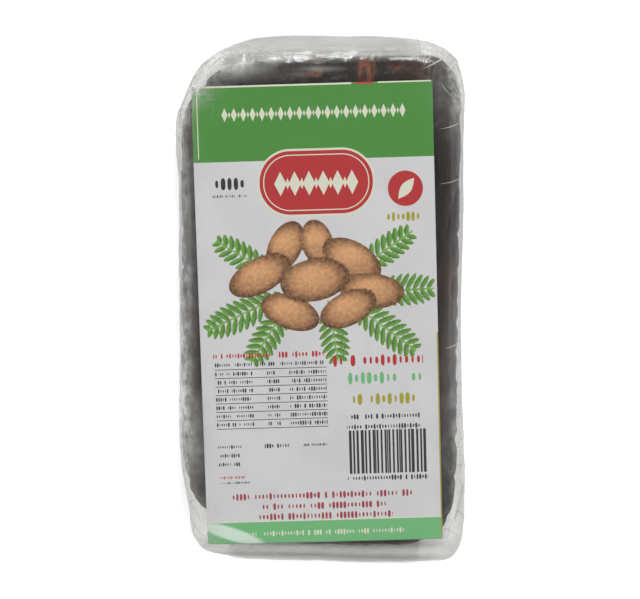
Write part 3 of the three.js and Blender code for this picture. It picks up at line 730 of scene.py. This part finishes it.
def print_fields(x, y):
    """Numbers at places on the label, from which the ink's edges are cut: the distance to the nearest row of beads
    (below 0 inside), how far up the row a place is, the row's half height, its ink and its turn in the draw, and the
    distance to the leaves and to the seeds with a tone from 0 to 1 for each."""
    far = np.full(x.shape, 9.0)
    fields = {name: far for name in ("row_edge", "row_up", "row_tall", "row_ink", "row_turn", "leaf_edge",
                                     "seed_edge")}
    rows_done = 0
    for middle_x, middle_y, half_x, half_y, pitch, tall, ink in PRINT_WORDS:
        rows = max(1, round(2 * half_y / pitch))
        for row in range(rows):
            rows_done += 1
            up = np.abs(y - middle_y - (row - (rows - 1) / 2) * pitch)
            away = np.maximum(np.abs(x - middle_x) - half_x, up - tall)
            nearer = away < fields["row_edge"]
            found = (("row_edge", away), ("row_up", up), ("row_tall", tall), ("row_turn", rows_done),
                     ("row_ink", (WORD_INKS.index(ink) + 0.5) / len(WORD_INKS)))
            for name, values in found:
                fields[name] = np.where(nearer, values, fields[name])
    leaf_tone = np.zeros(x.shape)
    for middle_x, middle_y, half_length, half_width, turn in PRINT_SPRIGS:
        # Leaflets in pairs at one pitch on a rib, leaning to its tip, each an oval, longest at the rib's middle
        along, across = in_turned_axes(x, y, middle_x, middle_y, turn)
        side = np.abs(across)
        place = (along - 0.6 * side) / LEAFLET_PITCH
        within = place - np.floor(place) - 0.5
        start = (np.floor(place) + 0.5) * LEAFLET_PITCH
        reach = half_width * np.sqrt(np.maximum(1 - (start / half_length) ** 2, 1e-4))
        half = 0.44 * np.sqrt(np.maximum(1 - (2 * side / reach - 1) ** 2, 0))
        away = np.where(reach > 0.8, (np.abs(within) - half) * LEAFLET_PITCH + 0.05, 3)
        rib = np.maximum(side - 0.22, np.abs(along) - half_length)
        away = np.minimum(away, rib)
        leaf_tone = np.where(away < 0.3, np.where(rib < 0.1, 0.9, within + 0.5), leaf_tone)
        fields["leaf_edge"] = np.minimum(fields["leaf_edge"], away)
    seed_tone = np.zeros(x.shape)
    for middle_x, middle_y, half_length, half_width, turn in PRINT_SEEDS:
        along, across = in_turned_axes(x, y, middle_x, middle_y, turn)
        reach = np.hypot(along / half_length, across / half_width)
        away = (reach - 1) * half_width
        shine = np.exp(-(((x - middle_x + 1.0) / half_length) ** 2 + ((y - middle_y - 1.6) / half_width) ** 2) * 2.5)
        tone = np.clip(0.1 + 0.5 * smoothstep(1 - reach, 0, 0.5) + 0.4 * shine, 0, 1)
        seed_tone = np.where(away < 0.3, tone, seed_tone)
        fields["seed_edge"] = np.minimum(fields["seed_edge"], away)
    return fields | {"leaf_tone": leaf_tone, "seed_tone": seed_tone}


def label_material():
    """Printed paper: each layer of ink is laid over the last with its mask, in the label's own millimetres."""
    colours = bpy.context.scene.pack_colours
    box, oval, row = box_group(), oval_group(), row_group()
    material, w, output = new_material("printed_paper")
    split = w.add("ShaderNodeSeparateXYZ", {0: w.add("ShaderNodeUVMap", uv_map="print").outputs[0]})
    x = w.times(split.outputs[0], PRINT_WIDTH)
    y = w.times(split.outputs[1], PRINT_LENGTH)
    flat = w.add("ShaderNodeCombineXYZ", {0: x, 1: y}).outputs[0]
    inks = {name: tuple(getattr(colours, name)) for name in ("green", *WORD_INKS)}
    colour = w.mix(w.ramp(w.noise(flat, 0.06, 3), 0.35, 0.65), tuple(colours.paper),
                   tuple(c * 0.94 for c in colours.paper))

    def masked(tree, keys, numbers, **more):
        return w.group(tree, X=x, Y=y, **dict(zip(("Middle X", "Middle Y") + keys, numbers)), **more)

    box_keys, turned_keys = ("Half width", "Half height", "Round"), ("Half length", "Half width", "Turn")
    for *numbers, ink in PRINT_BOXES:
        colour = w.mix(masked(box, box_keys, numbers).outputs["Mask"], colour, inks[ink])
    plaque = masked(box, box_keys, PLAQUE).outputs["Distance"]
    for inset, ink in PRINT_PLAQUE:
        colour = w.mix(w.ramp(plaque, 0.04 - inset, -0.04 - inset), colour, inks[ink])
    # Painted glare of the film: a pale sweep through the bottom band
    sweep = masked(oval, turned_keys, SWEEP, Soft=2.5).outputs["Round"]
    band = w.math("LESS_THAN", y, BAND_TOP)
    colour = w.mix(w.times(w.ramp(sweep, 0.0, 0.4), band), colour, tuple(colours.painted_glare))
    grain = w.ramp(w.noise(flat, 0.9, 4, 0.65), 0.4, 0.65, -0.1, 0.15)
    blade = w.mix(w.attribute("leaf_tone"), tuple(c * 0.5 for c in colours.leaf), tuple(colours.leaf_light))
    colour = w.mix(w.ramp(w.attribute("leaf_edge"), 0.06, -0.06), colour, blade)
    skin = w.mix(w.plus(w.attribute("seed_tone"), grain, clamp=True), tuple(c * 0.25 for c in colours.seed),
                 tuple(colours.seed_light))
    colour = w.mix(w.ramp(w.attribute("seed_edge"), 0.06, -0.06), colour, skin)
    # Rows of small beads in place of words: slim or round, tall or low, with gaps, by a draw for each bead
    tall = w.attribute("row_tall")
    along = w.plus(w.over(x, w.times(tall, 1.05)), w.times(w.attribute("row_turn"), 40.0))
    bead = w.math("FLOOR", along)
    draw = w.add("ShaderNodeTexWhiteNoise", {"W": bead}, noise_dimensions="1D")
    high = w.plus(0.62, w.times(w.math("GREATER_THAN", draw.outputs["Value"], 0.6), 0.38))
    draws = w.add("ShaderNodeSeparateColor", {0: draw.outputs["Color"]}).outputs
    slim = w.plus(0.16, w.times(draws[0], 0.24))
    sideways = w.over(w.minus(w.math("FRACT", along), 0.5), slim)
    upward = w.over(w.over(w.attribute("row_up"), tall), high)
    reach = w.plus(w.math("POWER", w.math("ABSOLUTE", sideways), 2.0), w.math("POWER", upward, 3.0))
    beads = w.times(w.ramp(reach, 1.1, 0.9), w.math("GREATER_THAN", draws[2], 0.13))
    beads = w.times(beads, w.ramp(w.attribute("row_edge"), 0.04, -0.04))
    chosen = w.add("ShaderNodeValToRGB", {0: w.attribute("row_ink")})
    chosen.color_ramp.interpolation = "CONSTANT"
    stops = chosen.color_ramp.elements
    stops[0].color, stops[1].position, stops[1].color = inks[WORD_INKS[0]], 1 / len(WORD_INKS), inks[WORD_INKS[1]]
    for number, ink in list(enumerate(WORD_INKS))[2:]:
        stops.new(number / len(WORD_INKS)).color = inks[ink]
    colour = w.mix(beads, colour, chosen.outputs[0])
    row_keys = ("Half width", "Half height", "Pitch", "Width", "Lozenge")
    for *numbers, ink in PRINT_ROWS:
        colour = w.mix(masked(row, row_keys, numbers).outputs[0], colour, inks[ink])
    rules = w.group(row, X=y, Y=x, **PRINT_RULES)
    colour = w.mix(rules.outputs[0], colour, inks["dark"])
    spot = masked(oval, turned_keys, SPOT)
    colour = w.mix(spot.outputs["Mask"], colour, inks["red"])
    spot_leaf = masked(oval, turned_keys, SPOT_LEAF, Pointed=1.0)
    colour = w.mix(spot_leaf.outputs["Mask"], colour, inks["cream"])
    fibre = w.noise(flat, 4.0, 4)
    bump = w.bump(fibre, 0.15, 0.0001)
    shader = w.add("ShaderNodeBsdfPrincipled", {
        "Base Color": colour, "Roughness": w.ramp(fibre, 0.3, 0.7, 0.42, 0.58), "Normal": bump})
    w.feed(output.inputs["Surface"], shader.outputs[0])
    return material


def floor_material():
    material, w, output = new_material("white_table")
    place = w.place()
    tone = w.mix(w.noise(place, 3, 2), (0.93, 0.93, 0.93, 1), (0.95, 0.95, 0.95, 1))
    shader = w.add("ShaderNodeBsdfPrincipled", {"Base Color": tone, "Roughness": 0.8, "Specular IOR Level": 0.1,
                                                "Emission Color": (1, 1, 1, 1), "Emission Strength": 0.42})
    w.feed(output.inputs["Surface"], shader.outputs[0])
    return material


# Pieces

class PACK_OT_pulp(bpy.types.Operator):
    """Builds the slab of pressed pulp"""

    bl_idname = "pack.pulp"
    bl_label = "Pulp slab"

    def execute(self, context):
        """Place = cushion form - lumps - furrows + swellings of the top edge, along the outward direction."""
        form = pulp_form()
        share = np.linspace(0, 1, 560, endpoint=False)
        fall = np.concatenate([np.linspace(0, 1, 56, endpoint=False), np.linspace(1, 3, 56, endpoint=False),
                               np.linspace(3, 4, 40)])
        shares, falls = np.meshgrid(share, fall)
        places, facing = form.surface(shares, falls)
        lumps = 0.22 * (1 - gradient_noise(places, 11, 21)) + 0.15 * (1 - gradient_noise(places, 4.5, 22))
        lumps += 0.06 * (1 - gradient_noise(places, 1.8, 23))
        furrows = 0.8 * ridged(places, 14, 24, 3.2) + 0.25 * ridged(places, 5, 25, 3.0)
        swelling = np.zeros(shares.shape)
        for x, y, radius, height in SWELLINGS:
            away = np.hypot(places[..., 0] - x, places[..., 1] - y) / radius
            swelling = np.maximum(swelling, height * np.clip(1 - away**2, 0, 1) * (facing[..., 2] > 0))
        light = np.zeros(shares.shape)
        for *oval, much in LIGHT_PATCHES:
            away = squared_reach(places, *oval)
            light = np.maximum(light, much * np.clip(1.6 - 1.6 * away, 0, 1) * (facing[..., 2] > -0.2))
        lift = SNUG + swelling - (lumps + furrows) * np.where(swelling > 0, 0.4, 1)
        piece = closed_body("pulp_slab", places + facing * lift[..., None], {"light_pulp": light})
        place_piece(piece, "pulp_block", pulp_material())
        return {"FINISHED"}


class PACK_OT_label(bpy.types.Operator):
    """Builds the printed paper label under the film"""

    bl_idname = "pack.label"
    bl_label = "Label"

    def execute(self, context):
        """Height = middle + (front - middle) sqrt(1 - lack^2), lack being how far a place is from the flat front,
        as a share of the film's rounded edge there. The sheet then follows the shared waves."""
        sizes = context.scene.pack_sizes
        form = film_form()
        rows, columns = 300, 156
        v, u = np.meshgrid(np.linspace(0, 1, rows), np.linspace(0, 1, columns), indexing="ij")
        x = (u - 0.5) * sizes.label_width / MM
        y = (v - 0.5) * sizes.label_length / MM
        cos, sin = math.cos(sizes.label_turn), math.sin(sizes.label_turn)
        plan = np.stack([x * cos - y * sin + LABEL_MIDDLE[0], x * sin + y * cos + LABEL_MIDDLE[1]], axis=-1)
        depth = sizes.label_depth / MM
        rim, _, run, _ = form.edge(RIM_SHARES)
        away = np.linalg.norm(plan.reshape(-1, 1, 2) - rim, axis=-1)
        nearest = away.argmin(axis=1)
        inside = np.maximum(away.min(axis=1) - depth, 0)
        lack = np.clip(1 - inside / run[nearest, 0], 0, 1)
        height = form.middle + (form.top - depth - form.middle) * np.sqrt(1 - lack**2)
        places = np.concatenate([plan.reshape(-1, 2), height[:, None]], axis=-1)
        places[:, 2] += shared_wave(places)
        uv = np.stack([u.ravel(), v.ravel()], axis=-1)
        fields = print_fields(u * PRINT_WIDTH, v * PRINT_LENGTH)
        piece = make_mesh("paper_label", places, grid_faces(rows, columns), attributes=fields, uv=uv)
        wall = piece.modifiers.new("Paper", "SOLIDIFY")
        wall.thickness = sizes.paper
        wall.offset = -1
        place_piece(piece, "label_card", label_material())
        return {"FINISHED"}


class PACK_OT_film(bpy.types.Operator):
    """Builds the clear film bag"""

    bl_idname = "pack.film"
    bl_label = "Film bag"

    def execute(self, context):
        """Place = cushion form + relief along the outward direction, on a grid of share by fall."""
        form = film_form()
        share = np.linspace(0, 1, 1040, endpoint=False)
        front = 1 - (1 - np.linspace(0, 1, 24, endpoint=False)) ** 1.5
        fall = np.concatenate([front, np.linspace(1, 3, 58, endpoint=False), np.linspace(3, 4, 12)])
        shares, falls = np.meshgrid(share, fall)
        places, facing = form.surface(shares, falls)
        relief = film_relief(places, falls)
        fields = film_fields(places, falls)
        piece = closed_body("film_bag", places + facing * relief[..., None], fields)
        place_piece(piece, "film_wrap", film_material("clear_film"))
        return {"FINISHED"}


class PACK_OT_flaps(bpy.types.Operator):
    """Builds the folded flaps that close the bag's two ends"""

    bl_idname = "pack.flaps"
    bl_label = "End flaps"

    def execute(self, context):
        """Each flap is the film's form between two falls, its shares narrowing from fold to tip, raised off it."""
        form = film_form()
        length = np.hypot(*np.diff(np.vstack([form.loop, form.loop[:1]]), axis=0).T).sum()
        for name, middle_share in (("top", self.share_at(form, 0.0, 1)), ("bottom", self.share_at(form, 0.0, -1))):
            for side, folds, widths, raised in FLAPS:
                v, u = np.meshgrid(np.linspace(0, 1, FLAP_ROWS), np.linspace(-1, 1, FLAP_COLUMNS), indexing="ij")
                half = widths[0] + (widths[1] - widths[0]) * v
                shares = middle_share + u * half / length
                falls = folds[0] + (folds[1] - folds[0]) * v
                places, facing = form.surface(shares, falls)
                relief = film_relief(places, falls) + raised * smoothstep(v, 0, 0.25)
                relief = relief + 0.2 * gradient_noise(places, 7, 31) * smoothstep(v, 0.1, 0.5)
                fields = film_fields(places, falls)
                fields["shade"] = fields["shade"] * 0.3
                fields["milk"] = np.clip(fields["milk"] * 0.4 + 0.03 + 0.06 * (np.abs(u) > 0.985), 0, 1)
                faces = grid_faces(FLAP_ROWS, FLAP_COLUMNS)
                if (side == "front") == (name == "top"):
                    faces = faces[:, ::-1]
                piece = make_mesh(f"{name}_{side}_flap", (places + facing * relief[..., None]).reshape(-1, 3),
                                  faces, attributes=fields)
                place_piece(piece, "film_wrap", bpy.data.materials["clear_film"])
        return {"FINISHED"}

    @staticmethod
    def share_at(form, x, side):
        """The share at which the widest line crosses x on the top (1) or bottom (-1) end."""
        far = np.abs(form.loop[:, 0] - x) + 1000 * (form.loop[:, 1] * side < 50)
        return far.argmin() / len(form.loop)


class PACK_OT_creases(bpy.types.Operator):
    """Builds the sharp white creases of the film"""

    bl_idname = "pack.creases"
    bl_label = "Creases"

    def execute(self, context):
        """Each crease is a ridge along an arc on the film: place = start + t (end - start) + bow sin(pi t)
        sideways, in plan for the front's and in share and fall for the walls'. Its foot is on the film and its top
        raised, both dying out at its ends."""
        form = film_form()
        t = np.linspace(0, 1, 40)
        arc, swell = np.sin(np.pi * t), np.sin(np.pi * np.clip(t, 0.02, 0.98)) ** 0.6
        ridges = []
        for number, (x0, y0, x1, y1, bow, half_width, white) in enumerate(CREASE_LINES):
            run = np.array([x1 - x0, y1 - y0])
            sideways = np.array([-run[1], run[0]]) / np.hypot(*run)
            wobble = 0.12 * gradient_noise(np.stack([t * 9, t * 0 + number * 7.3, t * 0], axis=-1), 1.0, 41)
            plan = np.array([x0, y0]) + t[:, None] * run + (bow * arc + wobble)[:, None] * sideways
            places, facing = seen_from_above(form, plan)
            ridges.append((places, facing, 1 + (places[:, 2] < form.top - 2), half_width, white,
                           CREASE_HEIGHT))
        for share_a, fall_a, share_b, fall_b, bow, half_width, white in FOLD_LINES:
            falls = fall_a + t * (fall_b - fall_a)
            places, facing = form.surface(share_a + t * (share_b - share_a) + bow * arc, falls)
            ridges.append((places, facing, falls, half_width, white, FOLD_HEIGHT))
        points, faces, whiteness = [], [], []
        for places, facing, falls, half_width, white, high in ridges:
            lift = film_relief(places, falls) + CREASE_LIFT
            sideways = unit(np.cross(facing, np.gradient(places, axis=0)))
            across = (half_width * swell)[:, None, None] * np.array([-1, 0, 1])[None, :, None] * sideways[:, None]
            raised = lift[:, None] + high * swell[:, None] * np.array([0, 1, 0])
            faces.append(grid_faces(len(t), 3)[:, ::-1] + sum(len(p) for p in points))
            points.append((places[:, None] + across + facing[:, None] * raised[..., None]).reshape(-1, 3))
            whiteness.append(white * np.repeat(swell, 3))
        # The ridges' whiteness and the extra haze of their film are partly a painted glint
        piece = make_mesh("film_creases", np.concatenate(points), np.concatenate(faces),
                          attributes={"milk": np.concatenate(whiteness)})
        place_piece(piece, "film_wrap", film_material("creased_film", 0.15))
        return {"FINISHED"}


class PACK_OT_stage(bpy.types.Operator):
    """Builds the table, the lights and the camera"""

    bl_idname = "pack.stage"
    bl_label = "Stage"

    def execute(self, context):
        points = TABLE_HALF * np.array([(-1, -1, 0), (1, -1, 0), (1, 1, 0), (-1, 1, 0)])
        mesh = bpy.data.meshes.new("table")
        mesh.from_pydata(points.tolist(), [], [(0, 1, 2, 3)])
        table = bpy.data.objects.new("table", mesh)
        context.scene.collection.objects.link(table)
        mesh.materials.append(floor_material())
        context.scene.view_settings.view_transform = "Standard"
        for lamp in LAMPS:
            self.light(context, *lamp)
        self.world(context)
        self.camera(context)
        return {"FINISHED"}

    def light(self, context, name, place, size, power):
        lamp = bpy.data.lights.new(name, "AREA")
        lamp.shape, lamp.size, lamp.energy = "SQUARE", size, power
        holder = bpy.data.objects.new(name, lamp)
        holder.location = place
        aim = -np.array(place)
        heading = math.atan2(aim[1], aim[0]) - math.pi / 2
        holder.rotation_euler = (math.acos(-aim[2] / np.linalg.norm(aim)), 0, heading)
        context.scene.collection.objects.link(holder)

    def world(self, context):
        """Grey overhead and white towards the horizon, so that the flat film mirrors little light."""
        world = bpy.data.worlds.new("studio")
        world.use_nodes = True
        world.node_tree.nodes.clear()
        w = Wiring(world.node_tree)
        up = w.add("ShaderNodeSeparateXYZ", {0: w.add("ShaderNodeTexCoord").outputs["Generated"]}).outputs[2]
        tone = w.ramp(up, 0.1, 0.8, 1.0, 0.2)
        back = w.add("ShaderNodeBackground", {"Color": w.mix(tone, (0, 0, 0, 1), (1, 1, 1, 1)), "Strength": 1.0})
        w.feed(w.add("ShaderNodeOutputWorld").inputs[0], back.outputs[0])
        context.scene.world = world

    def camera(self, context):
        """Nearly straight down, tilted a little so that the label's top end is the nearer."""
        lens = bpy.data.cameras.new("camera")
        lens.sensor_width, lens.lens = CAMERA_SENSOR, CAMERA_LENS
        holder = bpy.data.objects.new("camera", lens)
        away = np.array([0, math.sin(CAMERA_TILT), math.cos(CAMERA_TILT)])
        holder.location = CAMERA_AIM + CAMERA_DISTANCE * away
        holder.rotation_euler = (-CAMERA_TILT, 0, 0)
        context.scene.collection.objects.link(holder)
        context.scene.camera = holder


class PACK_PT_parts(bpy.types.Panel):
    bl_label = "Wrapped pulp pack"
    bl_idname = "PACK_PT_parts"
    bl_space_type = "VIEW_3D"
    bl_region_type = "UI"
    bl_category = "Pack"

    def draw(self, context):
        for group in (context.scene.pack_sizes, context.scene.pack_colours):
            column = self.layout.column()
            for name in group.bl_rna.properties.keys():
                if name not in ("rna_type", "name"):
                    column.prop(group, name)
        for operator in OPERATORS:
            self.layout.operator(operator.bl_idname)


OPERATORS = (PACK_OT_pulp, PACK_OT_label, PACK_OT_film, PACK_OT_flaps, PACK_OT_creases, PACK_OT_stage)
CLASSES = (PackSizes, PackColours, *OPERATORS, PACK_PT_parts)


def register():
    for kind in CLASSES:
        bpy.utils.register_class(kind)
    bpy.types.Scene.pack_sizes = PointerProperty(type=PackSizes)
    bpy.types.Scene.pack_colours = PointerProperty(type=PackColours)


def unregister():
    del bpy.types.Scene.pack_colours
    del bpy.types.Scene.pack_sizes
    for kind in reversed(CLASSES):
        bpy.utils.unregister_class(kind)


def main():
    register()
    bpy.ops.pack.stage()
    bpy.ops.pack.pulp()
    bpy.ops.pack.label()
    bpy.ops.pack.film()
    bpy.ops.pack.flaps()
    bpy.ops.pack.creases()


if __name__ == "__main__":
    main()
